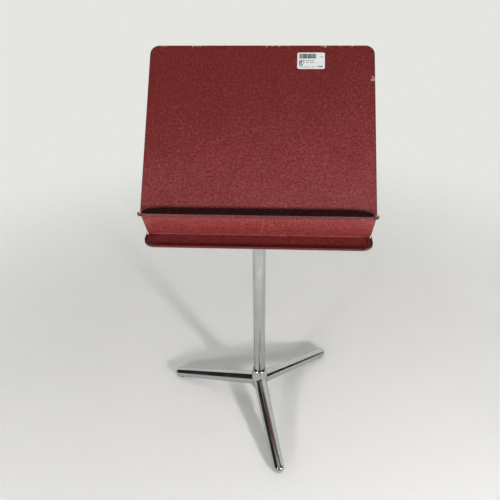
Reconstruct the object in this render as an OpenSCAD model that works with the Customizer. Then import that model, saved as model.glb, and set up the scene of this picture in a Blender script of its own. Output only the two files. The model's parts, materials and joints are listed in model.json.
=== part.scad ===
// Music stand: a sheet-metal desk with two ledges on a sliding chrome post and a three-legged base.
// Millimetres, +Z up. The origin is on the floor, in the middle of the stand's overall box.
// The desk faces -Y, and everything is shown at the stand's lowest setting.

/* [Desk] */
// Width of the desk and of both ledges
desk_w = 511; // [400:1:620]
// Length of the back plate, from the bend up to its top edge
plate_h = 399; // [300:1:460]
// Lean of the back plate from upright
desk_lean = 42.5; // [38:0.5:60]
// Radius of the back plate's two top corners
plate_corner_r = 21; // [8:1:40]
// Thickness of the desk's sheet steel
sheet = 1.2; // [0.8:0.1:2]
// Depth of the folded rim behind the plate and the lower panel
rim_depth = 9; // [5:0.5:12]
// Depth of the upper ledge, from the bend to its lip
upper_ledge_l = 44; // [35:1:60]
// Rise of the upper ledge above level, towards its lip
upper_ledge_rise = 22.5; // [0:0.5:28]
// Length of the lower panel, from the bend down to the lower ledge
lower_panel_l = 84; // [65:1:100]
// Angle of the lower panel from upright, running down and back
lower_panel_back = 29; // [10:0.5:32]
// Depth of the lower ledge, from the panel to its lip
lower_ledge_l = 54.5; // [36:1:62]
// Fall of the lower ledge below level, towards its lip
lower_ledge_fall = 4; // [-10:0.5:8]
// Radius of the ledges' front corners
ledge_corner_r = 26; // [10:1:30]
// Height of the lips on both ledges
lip_h = 5.5; // [3:0.5:9]
// Length of the lower shelf's flange, welded behind the plate
flange_l = 24; // [14:1:34]
// Width and height of the price label
label_size = [62, 40]; // [20:1:90]
// Distance of the label's middle from the desk's centre line, and down from the top edge
label_at = [112.5, 38.5]; // [30:1:130]
// Thickness of the label
label_t = 0.2; // [0.1:0.1:0.5]

/* [Tilt head] */
// Distance from the tilt axis forward to the plate's front face
pivot_gap = 30; // [26:0.5:42]
// Distance from the bend up the plate to the point in front of the tilt axis
pivot_up = 108; // [95:1:150]
// Height of the tilt axis above the end of the inner tube
pivot_rise = 43; // [40:1:60]
// Width of the head's lug between the bracket's ears
lug_w = 30; // [28:0.5:36]
// Radius of the lug's round top
lug_r = 15; // [12:0.5:16]
// Outside diameter of the head's sleeve
sleeve_d = 30; // [26:0.5:30]
// Diameter of the neck that the head turns on
neck_d = 16; // [12:0.5:18]
// Thickness of the bracket's sheet steel
bracket_t = 2.5; // [1.5:0.1:3.5]
// Width and length of the bracket's base plate
bracket_base = [92, 104]; // [60:1:140]
// Radius of the bracket's ears round the tilt bolt
ear_r = 13; // [10:0.5:14]
// Diameter of the tilt bolt
tilt_bolt_d = 8; // [6:0.5:9]
// Outside diameter of the friction washers
friction_washer_d = 27; // [20:0.5:28]
// Thickness of the friction washers
friction_washer_t = 1.6; // [1:0.1:3]

/* [Post] */
// Outside diameter of the outer tube
post_d = 31.75; // [29:0.25:36]
// Wall of the outer tube
post_wall = 1.6; // [1.2:0.1:2]
// Length of the outer tube
post_l = 493; // [400:1:620]
// Wall of the guide bush between the two tubes
bush_wall = 1.575; // [1.5:0.025:3]
// Wall of the inner tube
mast_wall = 1.5; // [1.2:0.1:2]
// Length of the inner tube
mast_l = 577; // [480:1:590]
// Length of the inner tube that stands out at the lowest setting
mast_out = 124; // [110:1:200]

/* [Height clamp] */
// Outside diameter of the clamp collar
collar_d = 40; // [38:0.5:46]
// Height of the clamp collar
collar_h = 28; // [26:0.5:36]
// Length of the guide bush inside the outer tube
bush_l = 34; // [28:1:60]
// Diameter of the clamp screw
clamp_screw_d = 8; // [6:0.5:9]
// Diameter of the boss that the clamp screw runs in
boss_d = 17; // [14:0.5:20]
// Distance from the post's axis to the end of the boss
boss_reach = 30; // [26:0.5:36]

/* [Knobs] */
// Diameter over the lobes of a knob
knob_d = 28; // [22:0.5:30]
// Thickness of a knob
knob_t = 18; // [14:0.5:24]
// Number of lobes on a knob
knob_lobes = 6; // [5:1:8]

/* [Base] */
// Distance from the post's axis to the end of each leg
leg_reach = 270; // [210:1:340]
// Diameter of a leg's cone where it would meet the post's axis
leg_root_d = 37.4; // [32:0.2:40]
// Diameter of a leg at its rounded tip
leg_tip_d = 28; // [24:0.5:32]
// Height of the legs' axes where they meet the post's axis
leg_axis_z = 73; // [60:1:90]
// Turn of the base under the desk, anticlockwise from above
base_turn = 13.2; // [-30:0.1:30]
// Depth cut off the underside of each tip to make its flat sole
sole_depth = 3.5; // [1:0.5:5]
// Height that the foot pads stand below the soles
pad_stand = 2.5; // [1:0.5:4]
// Diameter of the foot pads
pad_d = 17; // [12:0.5:20]
// Depth of a foot pad's recess above the sole
pad_recess = 5; // [3:0.5:7]
// Diameter of the hub's neck
hub_neck_d = 39.5; // [38:0.5:46]
// Height of the hub's neck above the legs' axes
hub_rise = 40; // [32:1:50]
// Depth of the hub below the legs' axes
hub_drop = 26; // [24:1:32]
// Thickness of the hub's floor under the tube
hub_floor = 8; // [6:0.5:12]
// Diameter of the spigots that hold the legs
spigot_d = 24; // [18:0.5:25]
// Distance from the post's axis to the end of a spigot
spigot_reach = 50; // [44:1:70]
// Diameter of the bolt that holds the tube in the hub
hub_bolt_d = 10; // [8:0.5:12]

/* [Hidden] */
$fn = 72;
run_fit = 0.05;      // radial clearance of a shaft that turns or slides
seat_gap = 0.02;     // radial clearance of a fixed seat
face_gap = 0.1;      // clearance between faces that turn against each other
part_gap = 0.3;      // clearance between a clamp part and what it grips
leg_joint_gap = 0.3; // open line between a leg and the hub
screw_clear = 0.3;   // radial clearance of a bolt in a plain hole

// Outer tube and hub
post_r = post_d / 2;
post_bore_r = post_r - post_wall;
mast_r = post_bore_r - bush_wall;
mast_bore_r = mast_r - mast_wall;
hub_z = leg_axis_z - hub_drop;
post_z = hub_z + hub_floor;
post_top = post_z + post_l;
hub_neck_r = max(hub_neck_d, post_d + 7) / 2;
// Two legs' roots stay clear of each other when the hub is at least this wide
hub_body_r = max(hub_neck_r + 1, leg_root_d / 2 / cos(30) + leg_joint_gap);
hub_shoulder_z = leg_axis_z + hub_rise * 0.55;
rim_round = 2;
plug_l = 24;
plug_bore_l = 18;
washer_t = 1.6;
bolt_head_h = 6.4;

// Legs
leg_tip_r = leg_tip_d / 2;
tip_axis_z = pad_stand + leg_tip_r - sole_depth;
leg_slope = atan((leg_axis_z - tip_axis_z) / (leg_reach - leg_tip_r));
leg_l = (leg_reach - leg_tip_r) / cos(leg_slope);
solid_tip_l = 56;
socket_l = leg_l - solid_tip_l;
leg_screw_at = hub_body_r + 13;
leg_screw_d = 6;
leg_screw_head_d = 10;
leg_screw_head_h = 3.4;
leg_screw_grip = 9;
pad_at = leg_reach - leg_tip_r - 6;
function leg_turn(k) = base_turn - 90 + 120 * k;

// Height clamp
collar_top = post_top + 4;
collar_z = collar_top - collar_h;
clamp_z = collar_z + collar_h * 0.43;
bush_flange_t = 2;
clamp_hole_r = clamp_screw_d / 2 + run_fit;
shoe_l = 3.8;
shoe_y = mast_r + part_gap;
clamp_screw_y = shoe_y + shoe_l + face_gap;
height_knob_y = boss_reach + 3;
screw_in_knob = 12;

// Inner tube and swivel
mast_top = post_top + mast_out;
mast_z = mast_top - mast_l;
foot_flange_t = 10;
foot_plug_l = 20;
swivel_plug_l = 30;
shoulder_t = 3;
pin_d = 5;
swivel_washer_t = 1.5;
neck_r = neck_d / 2;
pivot_z = mast_top + pivot_rise;
sleeve_z = mast_top + shoulder_t + swivel_washer_t + face_gap;
neck_top = pivot_z - tilt_bolt_d / 2 - 8;
groove_z = sleeve_z + 11;
groove_w = 6.4;
groove_depth = 1.6;
grub_d = 5;

// Tilt joint
tilt_bolt_r = tilt_bolt_d / 2;
ear_in = lug_w / 2 + friction_washer_t + 2 * run_fit;
ear_out = ear_in + bracket_t;
neck_square = tilt_bolt_d;
cap_head_r = tilt_bolt_d * 1.05;
cap_head_h = 4;
knob_washer_d = 18;
tilt_knob_x = ear_out + washer_t + face_gap;
insert_r = knob_d * 0.24;
insert_l = knob_t - 4;

// Desk geometry, as directions in the Y-Z plane
plate_up = [sin(desk_lean), cos(desk_lean)];
plate_front = [-cos(desk_lean), sin(desk_lean)];
panel_down = [sin(lower_panel_back), -cos(lower_panel_back)];
bend = [0, pivot_z] - pivot_up * plate_up + pivot_gap * plate_front;
shelf_step = sheet * tan((desk_lean + lower_panel_back) / 2);
shelf_bend = bend - sheet * plate_front + shelf_step * plate_up;
shelf_corner = shelf_bend + lower_panel_l * panel_down;
// Sheets run a little past each bend, to close its outside
fold_share = 0.9;
upper_fold = fold_share * sheet * tan((90 + upper_ledge_rise - desk_lean) / 2);
lower_fold = fold_share * sheet * tan((90 + lower_panel_back - lower_ledge_fall) / 2);
plate_relief = 4;
panel_relief = rim_depth + 2;
flange_gap = 0.5;
upper_lip_from = upper_ledge_l - ledge_corner_r - 1;
lower_lip_from = 2;
corner_step = 6; // degrees between the points of a sheet's round corner
label_corner_r = 4;

// Overall box, which sets the origin
function leg_end(k, turn) = (leg_reach - leg_tip_r) * cos(leg_turn(k) - turn);
function legs_high(turn) = max([for (k = [0:2]) leg_end(k, turn)]) + leg_tip_r;
function legs_low(turn) = min([for (k = [0:2]) leg_end(k, turn)]) - leg_tip_r;
plate_top_y = bend[0] + plate_h * plate_up[0] - rim_depth * plate_front[0];
x_high = max(desk_w / 2, legs_high(0));
x_low = min(-desk_w / 2, legs_low(0));
y_high = max(plate_top_y, legs_high(90));
y_low = min(bend[0] - upper_ledge_l, legs_low(90));
post_at = [-(x_high + x_low) / 2, -(y_high + y_low) / 2, 0];

// ---- Frames ----

// Post axis on the floor
module stand() {
    translate(post_at) children();
}

// Leg k: local X runs out along the leg's axis
module along_leg(k) {
    stand() translate([0, 0, leg_axis_z]) rotate([0, leg_slope, leg_turn(k)]) children();
}

// A point in the stand's Y-Z plane, turned about X
module at_yz(p, turn) {
    stand() translate([0, p[0], p[1]]) rotate([turn, 0, 0]) children();
}

// Back plate: local Y runs up it from the bend and local Z points out of its front
module on_plate() {
    at_yz(bend, 90 - desk_lean) children();
}

// Tilt axis, turned with the desk: local X is the axis and local Z points at the plate
module on_pivot() {
    on_plate() translate([0, pivot_up, -pivot_gap]) children();
}

// Things that lie along X: local Z becomes X
module along_x() {
    rotate([90, 0, 90]) children();
}

// Things that lie along Y: local Z becomes Y
module along_y() {
    rotate([-90, 0, 0]) children();
}

// ---- Shared shapes ----

module ring(outer_r, inner_r, h) {
    difference() {
        cylinder(r = outer_r, h = h);
        translate([0, 0, -1]) cylinder(r = inner_r, h = h + 2);
    }
}

// Outline of a sheet with two round corners at its far end, starting at Y = from
function end_curve(w, l, r, from) = [
    [-w / 2, from],
    for (a = [180:-corner_step:90]) [-w / 2 + r + r * cos(a), l - r + r * sin(a)],
    for (a = [90:-corner_step:0]) [w / 2 - r + r * cos(a), l - r + r * sin(a)],
    [w / 2, from]
];

function backwards(points) = [for (k = [len(points) - 1:-1:0]) points[k]];

module round_end(w, l, r, from) {
    polygon(end_curve(w, l, r, from));
}

// Border of that outline, one sheet thick and open at its start
module round_end_rim(w, l, r, from) {
    polygon(concat(
        end_curve(w, l, r, from),
        backwards(end_curve(w - 2 * sheet, l - sheet, r - sheet, from))
    ));
}

module lobed_knob(hole_r, hole_l) {
    lobe_r = knob_d * 0.14;
    difference() {
        union() {
            cylinder(r = knob_d * 0.4, h = knob_t);
            for (k = [0:knob_lobes - 1]) rotate([0, 0, k * 360 / knob_lobes])
                translate([knob_d / 2 - lobe_r, 0, 1.5]) cylinder(r = lobe_r, h = knob_t - 3);
        }
        translate([0, 0, -1]) cylinder(r = hole_r, h = hole_l + 1);
    }
}

// ---- Base ----

module base_hub() {
    color("silver") difference() {
        union() {
            stand() rotate_extrude() polygon([
                [0, hub_z],
                [hub_body_r - 3 * rim_round, hub_z],
                [hub_body_r, hub_z + 2 * rim_round],
                [hub_body_r, hub_shoulder_z - rim_round],
                [hub_neck_r, hub_shoulder_z],
                [hub_neck_r, leg_axis_z + hub_rise - rim_round],
                for (a = [0:30:90]) [
                    hub_neck_r - rim_round + rim_round * cos(a),
                    leg_axis_z + hub_rise - rim_round + rim_round * sin(a)
                ],
                [0, leg_axis_z + hub_rise]
            ]);
            for (k = [0:2]) along_leg(k) translate([hub_neck_r - 2, 0, 0]) along_x()
                cylinder(d = spigot_d, h = spigot_reach - hub_neck_r + 2);
        }
        stand() translate([0, 0, post_z]) cylinder(r = post_r + seat_gap, h = hub_rise + hub_drop);
        stand() translate([0, 0, hub_z - 1])
            cylinder(r = hub_bolt_d / 2 + screw_clear, h = hub_floor + 2);
        for (k = [0:2]) along_leg(k) translate([leg_screw_at, 0, -spigot_d])
            cylinder(r = leg_screw_d / 2 + seat_gap, h = spigot_d + leg_screw_grip - spigot_d / 2 + 1);
    }
}

module leg(k) {
    color("silver") difference() {
        union() {
            along_leg(k) along_x() cylinder(d1 = leg_root_d, d2 = leg_tip_d, h = leg_l);
            along_leg(k) translate([leg_l, 0, 0]) sphere(r = leg_tip_r);
        }
        stand() cylinder(r = hub_body_r + leg_joint_gap, h = 2 * leg_axis_z);
        along_leg(k) translate([-1, 0, 0]) along_x()
            cylinder(r = spigot_d / 2 + run_fit, h = socket_l + 1);
        stand() translate([-2 * leg_reach, -2 * leg_reach, pad_stand - 2 * leg_tip_d])
            cube([4 * leg_reach, 4 * leg_reach, 2 * leg_tip_d]);
        stand() rotate([0, 0, leg_turn(k)]) translate([pad_at, 0, 0])
            cylinder(r = pad_d / 2 + seat_gap, h = pad_stand + pad_recess);
        along_leg(k) translate([leg_screw_at, 0, -leg_root_d]) {
            cylinder(r = leg_screw_d / 2 + screw_clear, h = leg_root_d);
            cylinder(r = leg_screw_head_d / 2 + screw_clear, h = leg_root_d - spigot_d / 2 - 2);
        }
    }
}

module leg_front() {
    leg(0);
}

module leg_right() {
    leg(1);
}

module leg_left() {
    leg(2);
}

module leg_screws() {
    color("dimgray") for (k = [0:2]) along_leg(k)
        translate([leg_screw_at, 0, -spigot_d / 2 - 2]) {
            translate([0, 0, -leg_screw_head_h]) difference() {
                cylinder(d = leg_screw_head_d, h = leg_screw_head_h);
                translate([0, 0, -1]) cylinder(r = 2, h = 3, $fn = 6);
            }
            cylinder(d = leg_screw_d, h = leg_screw_grip);
        }
}

module foot_pads() {
    color("#2a2a2a") for (k = [0:2]) stand() rotate([0, 0, leg_turn(k)])
        translate([pad_at, 0, 0]) cylinder(d = pad_d, h = pad_stand + pad_recess);
}

module hub_bolt() {
    head_z = hub_z - washer_t - bolt_head_h;
    color("gray") stand() {
        translate([0, 0, head_z]) cylinder(r = hub_bolt_d * 0.95, h = bolt_head_h, $fn = 6);
        translate([0, 0, hub_z - washer_t]) cylinder(d = hub_bolt_d, h = washer_t + hub_floor + 14);
    }
}

module hub_washer() {
    color("gray") stand() translate([0, 0, hub_z - washer_t])
        ring(hub_bolt_d * 1.1, hub_bolt_d / 2 + screw_clear, washer_t);
}

module tube_plug() {
    color("gray") stand() translate([0, 0, post_z]) difference() {
        cylinder(r = post_bore_r - seat_gap, h = plug_l);
        translate([0, 0, -1]) cylinder(r = hub_bolt_d / 2 + seat_gap, h = plug_bore_l + 1);
    }
}

// ---- Post ----

// Hole for the clamp screw, from the post's axis towards +Y
module clamp_hole() {
    translate([0, 0, clamp_z]) along_y() cylinder(r = clamp_hole_r, h = boss_reach + 5);
}

module outer_tube() {
    color("silver") stand() difference() {
        translate([0, 0, post_z]) ring(post_r, post_bore_r, post_l);
        clamp_hole();
    }
}

module guide_bush() {
    color("ivory") stand() difference() {
        union() {
            translate([0, 0, post_top - bush_l]) cylinder(r = post_bore_r - seat_gap, h = bush_l);
            translate([0, 0, post_top]) cylinder(r = post_r - seat_gap, h = bush_flange_t);
        }
        translate([0, 0, post_top - bush_l - 1]) cylinder(r = mast_r + run_fit, h = bush_l + 9);
        clamp_hole();
    }
}

module clamp_collar() {
    color("silver") stand() difference() {
        union() {
            translate([0, 0, collar_z]) cylinder(r = max(collar_d / 2, post_r + 4), h = collar_h);
            translate([0, 0, clamp_z]) along_y() cylinder(d = boss_d, h = boss_reach);
        }
        translate([0, 0, collar_z - 1])
            cylinder(r = post_r + seat_gap, h = post_top + bush_flange_t + seat_gap - collar_z + 1);
        translate([0, 0, collar_z]) cylinder(r = mast_r + 2 * part_gap, h = collar_h + 1);
        clamp_hole();
    }
}

module clamp_shoe() {
    color("goldenrod") stand() translate([0, shoe_y, clamp_z]) along_y()
        cylinder(r = clamp_hole_r - run_fit, h = shoe_l);
}

module height_screw() {
    color("gray") stand() translate([0, clamp_screw_y, clamp_z]) along_y()
        cylinder(d = clamp_screw_d, h = height_knob_y + screw_in_knob - clamp_screw_y);
}

module height_knob() {
    color("#1c1c1c") stand() translate([0, height_knob_y, clamp_z]) along_y()
        lobed_knob(clamp_screw_d / 2 + seat_gap, screw_in_knob);
}

// ---- Mast ----

module inner_tube() {
    color("silver") stand() difference() {
        translate([0, 0, mast_z]) ring(mast_r, mast_bore_r, mast_l);
        plug_pin_hole();
    }
}

module mast_foot() {
    color("ivory") stand() {
        translate([0, 0, mast_z - foot_flange_t]) cylinder(r = post_bore_r - run_fit, h = foot_flange_t);
        translate([0, 0, mast_z]) cylinder(r = mast_bore_r - seat_gap, h = foot_plug_l);
    }
}

module plug_pin_hole() {
    translate([-post_d, 0, mast_top - swivel_plug_l / 2]) along_x()
        cylinder(r = pin_d / 2 + seat_gap, h = 2 * post_d);
}

module swivel_plug() {
    color("gray") stand() difference() {
        union() {
            translate([0, 0, mast_top - swivel_plug_l])
                cylinder(r = mast_bore_r - seat_gap, h = swivel_plug_l);
            translate([0, 0, mast_top]) cylinder(r = mast_r, h = shoulder_t);
            translate([0, 0, mast_top]) cylinder(r = neck_r, h = neck_top - mast_top);
        }
        plug_pin_hole();
        translate([0, 0, groove_z - groove_w / 2]) ring(neck_r + 1, neck_r - groove_depth, groove_w);
    }
}

module plug_pin() {
    color("gray") stand() translate([-mast_r, 0, mast_top - swivel_plug_l / 2]) along_x()
        cylinder(d = pin_d, h = 2 * mast_r);
}

module swivel_washer() {
    color("ivory") stand() translate([0, 0, mast_top + shoulder_t])
        ring(mast_r - 0.5, neck_r + run_fit, swivel_washer_t);
}

// ---- Tilt head ----

module tilt_head() {
    color("silver") stand() difference() {
        union() {
            translate([0, 0, sleeve_z]) cylinder(d = sleeve_d, h = pivot_z - lug_r - sleeve_z + 6);
            intersection() {
                union() {
                    translate([-lug_w / 2, 0, pivot_z]) along_x() cylinder(r = lug_r, h = lug_w);
                    translate([-lug_w / 2, -lug_r, pivot_z - lug_r])
                        cube([lug_w, 2 * lug_r, lug_r]);
                }
                translate([0, 0, sleeve_z]) cylinder(r = lug_w * 0.68, h = 2 * pivot_rise);
            }
        }
        translate([0, 0, sleeve_z - 1])
            cylinder(r = neck_r + run_fit, h = neck_top + 1 - sleeve_z + 1);
        translate([-lug_w, 0, pivot_z]) along_x() cylinder(r = tilt_bolt_r + run_fit, h = 2 * lug_w);
        translate([0, 0, groove_z]) along_y() cylinder(r = grub_d / 2 + seat_gap, h = sleeve_d);
    }
}

module swivel_grub_screw() {
    grub_y = neck_r - groove_depth + part_gap;
    color("dimgray") stand() translate([0, grub_y, groove_z]) along_y() difference() {
        cylinder(d = grub_d, h = sleeve_d / 2 - grub_y - 0.5);
        translate([0, 0, sleeve_d / 2 - grub_y - 3]) cylinder(r = 1.4, h = 4, $fn = 6);
    }
}

// ---- Desk ----

// Sheet with a lip round its front, from the bend at point p, falling by angle fall towards its front
module ledge(p, fall, l, lip_from, fold) {
    at_yz(p, 180 + fall) {
        linear_extrude(sheet) round_end(desk_w, l, ledge_corner_r, -fold);
        translate([0, 0, -lip_h]) linear_extrude(lip_h + sheet / 2)
            round_end_rim(desk_w, l, ledge_corner_r, lip_from);
    }
}

module desk_panel() {
    color([0.44, 0.13, 0.15]) union() {
        on_plate() translate([0, 0, -sheet]) linear_extrude(sheet)
            round_end(desk_w, plate_h, plate_corner_r, -upper_fold);
        on_plate() translate([0, 0, -rim_depth]) linear_extrude(rim_depth - sheet / 2)
            round_end_rim(desk_w, plate_h, plate_corner_r, plate_relief);
        ledge(bend, -upper_ledge_rise, upper_ledge_l, upper_lip_from, upper_fold);
    }
}

module lower_shelf() {
    flange_w = desk_w - 2 * sheet - 2 * flange_gap;
    panel_turn = lower_panel_back - 90;
    color([0.47, 0.15, 0.16]) union() {
        on_plate() translate([-flange_w / 2, shelf_step, -2 * sheet])
            cube([flange_w, flange_l, sheet]);
        at_yz(shelf_bend, panel_turn) {
            translate([-desk_w / 2, 0, 0]) cube([desk_w, lower_panel_l + lower_fold, sheet]);
            for (side = [0, 1]) mirror([side, 0, 0])
                translate([desk_w / 2 - sheet, panel_relief, 0])
                    cube([sheet, lower_panel_l - panel_relief, rim_depth]);
        }
        ledge(shelf_corner, lower_ledge_fall, lower_ledge_l, lower_lip_from, lower_fold);
    }
}

// Ear outline: local X up the plate and local Y towards the plate, with the tilt axis at the origin
module ear_outline() {
    foot = pivot_gap - sheet - bracket_t / 2;
    polygon([[-ear_r, 0], [ear_r, 0], [2.1 * ear_r, foot], [-2.1 * ear_r, foot]]);
    circle(r = ear_r);
}

module desk_bracket() {
    color([0.40, 0.12, 0.14]) difference() {
        union() {
            on_pivot() translate([-bracket_base[0] / 2, -bracket_base[1] / 2, pivot_gap - sheet - bracket_t])
                cube([bracket_base[0], bracket_base[1], bracket_t]);
            for (x = [-ear_out, ear_in]) on_pivot() translate([x, 0, 0]) along_x()
                linear_extrude(bracket_t) ear_outline();
        }
        on_pivot() along_x() cylinder(r = tilt_bolt_r + screw_clear, h = 2 * ear_out);
        on_pivot() translate([-ear_out - 1, -neck_square / 2 - run_fit, -neck_square / 2 - run_fit])
            cube([bracket_t + 2, neck_square + 2 * run_fit, neck_square + 2 * run_fit]);
    }
}

module tilt_bolt() {
    color("gray") on_pivot() {
        translate([-ear_out, -neck_square / 2, -neck_square / 2])
            cube([bracket_t, neck_square, neck_square]);
        translate([-ear_out, 0, 0]) along_x()
            cylinder(r = tilt_bolt_r, h = ear_out + tilt_knob_x + insert_l - 1);
        intersection() {
            translate([-ear_out - cap_head_h, 0, 0]) along_x() cylinder(r = cap_head_r, h = cap_head_h);
            translate([-ear_out - cap_head_h + cap_head_r * 1.3, 0, 0]) sphere(r = cap_head_r * 1.3);
        }
    }
}

module friction_washers() {
    color("#3a2f28") on_pivot() for (x = [-ear_in + run_fit, lug_w / 2 + run_fit])
        translate([x, 0, 0]) along_x()
            ring(friction_washer_d / 2, tilt_bolt_r + screw_clear, friction_washer_t);
}

module knob_washer() {
    color("gray") on_pivot() translate([ear_out, 0, 0]) along_x()
        ring(knob_washer_d / 2, tilt_bolt_r + screw_clear, washer_t);
}

module tilt_knob() {
    color("#1c1c1c") on_pivot() translate([tilt_knob_x, 0, 0]) along_x()
        lobed_knob(insert_r + seat_gap, insert_l);
}

module knob_insert() {
    color("goldenrod") on_pivot() translate([tilt_knob_x, 0, 0]) along_x()
        ring(insert_r, tilt_bolt_r + run_fit, insert_l);
}

module price_label() {
    half = label_size / 2 - [label_corner_r, label_corner_r];
    color("white") on_plate() translate([label_at[0], plate_h - label_at[1], 0])
        linear_extrude(label_t) polygon([
            for (turn = [0:90:270]) for (a = [0:corner_step * 3:90]) [
                half[0] * sign(cos(turn + 45)) + label_corner_r * cos(turn + a),
                half[1] * sign(sin(turn + 45)) + label_corner_r * sin(turn + a)
            ]
        ]);
}

base_hub();
leg_front();
leg_right();
leg_left();
leg_screws();
foot_pads();
hub_bolt();
hub_washer();
tube_plug();
outer_tube();
guide_bush();
clamp_collar();
clamp_shoe();
height_screw();
height_knob();
inner_tube();
mast_foot();
swivel_plug();
plug_pin();
swivel_washer();
tilt_head();
swivel_grub_screw();
desk_panel();
lower_shelf();
desk_bracket();
tilt_bolt();
friction_washers();
knob_washer();
tilt_knob();
knob_insert();
price_label();
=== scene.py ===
# %% [markdown]
# # A music stand
# The real stand is a desk of painted sheet steel with two folded ledges, held by a tilting head on a chrome
# post that slides in and out of a three-legged base. The engineering model already holds every part at its
# real size. This lesson keeps those places and gives each part the shape and finish that the eye expects:
# rounded folds, a leathery enamel with worn edges, and plated steel.

# %% Load the frame
import json
from math import atan2, copysign, cos, pi, radians, sin, sqrt, tan

import bmesh
import bpy
from mathutils import Matrix, Vector

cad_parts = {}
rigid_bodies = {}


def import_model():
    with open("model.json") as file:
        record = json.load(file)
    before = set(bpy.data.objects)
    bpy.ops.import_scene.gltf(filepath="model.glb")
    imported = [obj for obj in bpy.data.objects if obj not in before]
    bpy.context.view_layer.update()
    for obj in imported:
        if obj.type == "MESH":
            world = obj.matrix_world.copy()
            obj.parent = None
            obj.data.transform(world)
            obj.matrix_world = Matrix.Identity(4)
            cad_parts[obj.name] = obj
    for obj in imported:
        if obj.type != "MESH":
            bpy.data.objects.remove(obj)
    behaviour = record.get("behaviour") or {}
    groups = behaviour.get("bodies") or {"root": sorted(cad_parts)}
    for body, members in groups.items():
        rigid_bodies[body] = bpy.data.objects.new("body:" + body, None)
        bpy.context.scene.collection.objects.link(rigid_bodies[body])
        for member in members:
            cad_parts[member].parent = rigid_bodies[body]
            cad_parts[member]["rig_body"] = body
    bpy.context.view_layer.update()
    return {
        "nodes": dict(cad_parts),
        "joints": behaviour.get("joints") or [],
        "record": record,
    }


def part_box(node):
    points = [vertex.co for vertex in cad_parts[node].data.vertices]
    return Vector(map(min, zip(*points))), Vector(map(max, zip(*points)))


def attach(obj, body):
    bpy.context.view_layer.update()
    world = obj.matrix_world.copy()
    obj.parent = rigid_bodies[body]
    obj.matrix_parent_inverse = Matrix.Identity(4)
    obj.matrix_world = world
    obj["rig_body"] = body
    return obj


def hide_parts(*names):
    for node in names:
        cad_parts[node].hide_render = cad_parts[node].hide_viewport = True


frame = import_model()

# %% [markdown]
# ## Where things are
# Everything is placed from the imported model: the post from its tube's box, the tilt axis from its joint and
# the legs from the three floor pads. Only the desk's own bends are restated here, as a sheet-metal drawing
# would state them.

# %% Axes of the stand
JOINTS = {joint["name"]: joint for joint in frame["joints"]}
MOUNTS = {mount["name"]: mount for mount in frame["record"]["mounts"]}
tube_low, tube_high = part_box("outer_tube")
POST = Vector(((tube_low.x + tube_high.x) / 2, (tube_low.y + tube_high.y) / 2, 0))
PIVOT = Vector(JOINTS["desk_tilt"]["pos_m"])
print("post", POST[:], "tilt axis", PIVOT[:])

# %% Dimensions of the desk
SHEET = 0.0012
DESK_WIDTH = 0.511
PLATE_HEIGHT = 0.399
PLATE_CORNER = 0.021
RIM_DEPTH = 0.009
UPPER_LEDGE = 0.044
LOWER_PANEL = 0.084
LOWER_LEDGE = 0.0545
LEDGE_CORNER = 0.026
LIP_HEIGHT = 0.0055
FLANGE = 0.024
LEAN = radians(42.5)
LEDGE_RISE = radians(22.5)
PANEL_BACK = radians(29)
LEDGE_FALL = radians(4)
PIVOT_GAP = 0.030
PIVOT_UP = 0.108

# %% [markdown]
# ## The camera
# The eye is about a metre in front of the stand and 1.2 m up, and looks down, so the desk looks large and the
# feet small. The camera, the floor and the lights are staging and not part of the stand.

# %% Camera
EYE = Vector((0.0457, -1.0759, 1.215))
LOOK_DOWN = radians(32.4)
LOOK_LEFT = radians(3.4)
ROLL = radians(-0.76)
SENSOR = 36.0
FOCAL = 38.88
NEAREST = 0.01

camera = bpy.data.objects.new("camera", bpy.data.cameras.new("camera"))
bpy.context.scene.collection.objects.link(camera)
look = Vector((-sin(LOOK_LEFT) * cos(LOOK_DOWN), cos(LOOK_LEFT) * cos(LOOK_DOWN), -sin(LOOK_DOWN)))
facing = look.to_track_quat("-Z", "Y").to_matrix().to_4x4()
camera.matrix_world = Matrix.Translation(EYE) @ facing @ Matrix.Rotation(ROLL, 4, "Z")
camera.data.sensor_width = SENSOR
camera.data.lens = FOCAL
camera.data.clip_start = NEAREST
bpy.context.scene.camera = camera
bpy.context.scene.view_settings.view_transform = "Standard"
print("camera at", EYE[:])

# %% [markdown]
# ## Shader arithmetic
# A finish is easier to read as a sum than as a web of nodes. `Value` wraps one socket, and adding or
# multiplying two of them adds the Math node. `Finish` holds a material, and its `node` method makes any
# other node from its type, its settings and what its sockets take.

# %% Values and finishes
class Value:
    """A shader socket that can be used in a sum."""

    def __init__(self, finish, socket):
        self.finish = finish
        self.socket = socket

    def math(self, operation, first, second):
        return self.finish.node("Math", {0: first, 1: second}, operation=operation)

    def __add__(self, other):
        return self.math("ADD", self, other)

    def __radd__(self, other):
        return self.math("ADD", other, self)

    def __sub__(self, other):
        return self.math("SUBTRACT", self, other)

    def __rsub__(self, other):
        return self.math("SUBTRACT", other, self)

    def __mul__(self, other):
        return self.math("MULTIPLY", self, other)

    def __rmul__(self, other):
        return self.math("MULTIPLY", other, self)

    def __or__(self, other):
        return self.math("MAXIMUM", self, other)


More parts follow.
